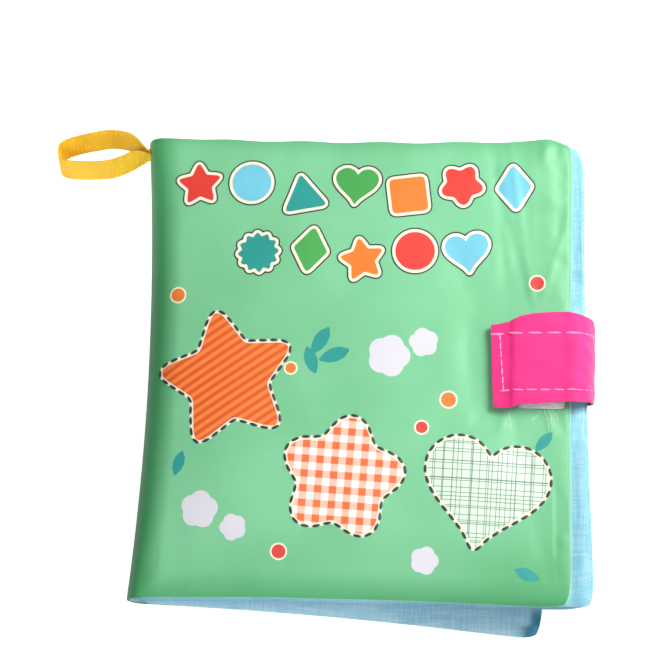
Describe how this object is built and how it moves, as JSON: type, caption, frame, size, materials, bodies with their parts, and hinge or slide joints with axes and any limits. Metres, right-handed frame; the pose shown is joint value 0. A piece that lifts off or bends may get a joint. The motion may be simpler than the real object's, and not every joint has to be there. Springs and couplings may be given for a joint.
{
  "type": "crinkle cloth book",
  "caption": "Soft padded crinkle cloth book for a baby, with hinged covers and leaves, a hook-and-loop strap and a ribbon loop on the spine.",
  "frame": {"origin": "middle of the back cover's flat underside, on which the closed book lies", "axes": "+X from the spine to the fore edge, +Y from the foot to the head of the book, +Z out of the front cover"},
  "size_m": [0.1959, 0.1786, 0.027],
  "materials": {
    "satin": "glossy green polyester satin",
    "lining": "pale blue plain-weave cotton",
    "leaf_cloth": "blue plain-weave cloth",
    "wadding": "white polyester wadding",
    "film": "crinkle film",
    "strap_cloth": "bright pink woven cloth",
    "hook_tape": "white hook-and-loop tape",
    "ribbon": "yellow grosgrain ribbon"
  },
  "bodies": {
    "back_cover": {"back_cover_outer": "satin", "back_cover_lining": "lining", "back_cover_wadding": "wadding", "back_cover_crinkle_film": "film", "spine_cloth": "satin", "outer_spread_fold": "leaf_cloth", "inner_spread_fold": "leaf_cloth", "strap_root": "strap_cloth"},
    "front_cover": {"front_cover_outer": "satin", "front_cover_lining": "lining", "front_cover_wadding": "wadding", "front_cover_crinkle_film": "film", "loop_pad": "hook_tape"},
    "leaf_1": {"leaf_1_front_cloth": "leaf_cloth", "leaf_1_back_cloth": "leaf_cloth", "leaf_1_wadding": "wadding", "leaf_1_crinkle_film": "film"},
    "leaf_2": {"leaf_2_front_cloth": "leaf_cloth", "leaf_2_back_cloth": "leaf_cloth", "leaf_2_wadding": "wadding", "leaf_2_crinkle_film": "film"},
    "leaf_3": {"leaf_3_front_cloth": "leaf_cloth", "leaf_3_back_cloth": "leaf_cloth", "leaf_3_wadding": "wadding", "leaf_3_crinkle_film": "film"},
    "leaf_4": {"leaf_4_front_cloth": "leaf_cloth", "leaf_4_back_cloth": "leaf_cloth", "leaf_4_wadding": "wadding", "leaf_4_crinkle_film": "film"},
    "strap_side": {"strap_side_lining": "strap_cloth", "strap_side_outer": "strap_cloth"},
    "strap_tab": {"strap_tab_lining": "strap_cloth", "strap_tab_outer": "strap_cloth", "hook_pad": "hook_tape"},
    "ribbon": {"ribbon_loop": "ribbon"}
  },
  "joints": [
    {"name": "cover_hinge", "type": "hinge", "parent": "back_cover", "child": "front_cover", "pos_m": [-0.073, 0, 0.0122], "axis": [0, -1, 0], "range_deg": [0, 178], "deforming": ["spine_cloth", "outer_spread_fold", "inner_spread_fold"]},
    {"name": "leaf_1_hinge", "type": "hinge", "parent": "back_cover", "child": "leaf_1", "pos_m": [-0.073, 0, 0.0122], "axis": [0, -1, 0], "range_deg": [0, 142.4]},
    {"name": "leaf_2_hinge", "type": "hinge", "parent": "back_cover", "child": "leaf_2", "pos_m": [-0.073, 0, 0.0122], "axis": [0, -1, 0], "range_deg": [0, 106.8]},
    {"name": "leaf_3_hinge", "type": "hinge", "parent": "back_cover", "child": "leaf_3", "pos_m": [-0.073, 0, 0.0122], "axis": [0, -1, 0], "range_deg": [0, 71.2]},
    {"name": "leaf_4_hinge", "type": "hinge", "parent": "back_cover", "child": "leaf_4", "pos_m": [-0.073, 0, 0.0122], "axis": [0, -1, 0], "range_deg": [0, 35.6]},
    {"name": "strap_side_hinge", "type": "hinge", "parent": "back_cover", "child": "strap_side", "pos_m": [0.0828, 0.0025, 0.0011], "axis": [0, 1, 0], "range_deg": [0, 90], "deforming": ["strap_side_lining", "strap_side_outer"]},
    {"name": "strap_tab_hinge", "type": "hinge", "parent": "strap_side", "child": "strap_tab", "pos_m": [0.0762, 0.0025, 0.0258], "axis": [0, 1, 0], "range_deg": [0, 120], "deforming": ["strap_tab_lining", "strap_tab_outer", "hook_pad"]},
    {"name": "ribbon_hinge", "type": "hinge", "parent": "back_cover", "child": "ribbon", "pos_m": [-0.0774, 0.0791, 0.0166], "axis": [0, 1, 0], "range_deg": [0, 90], "deforming": ["ribbon_loop"]}
  ],
  "couplings": [
    {"joint": "leaf_1_hinge", "follows": "cover_hinge", "ratio": 0.8},
    {"joint": "leaf_2_hinge", "follows": "cover_hinge", "ratio": 0.6},
    {"joint": "leaf_3_hinge", "follows": "cover_hinge", "ratio": 0.4},
    {"joint": "leaf_4_hinge", "follows": "cover_hinge", "ratio": 0.2}
  ]
}
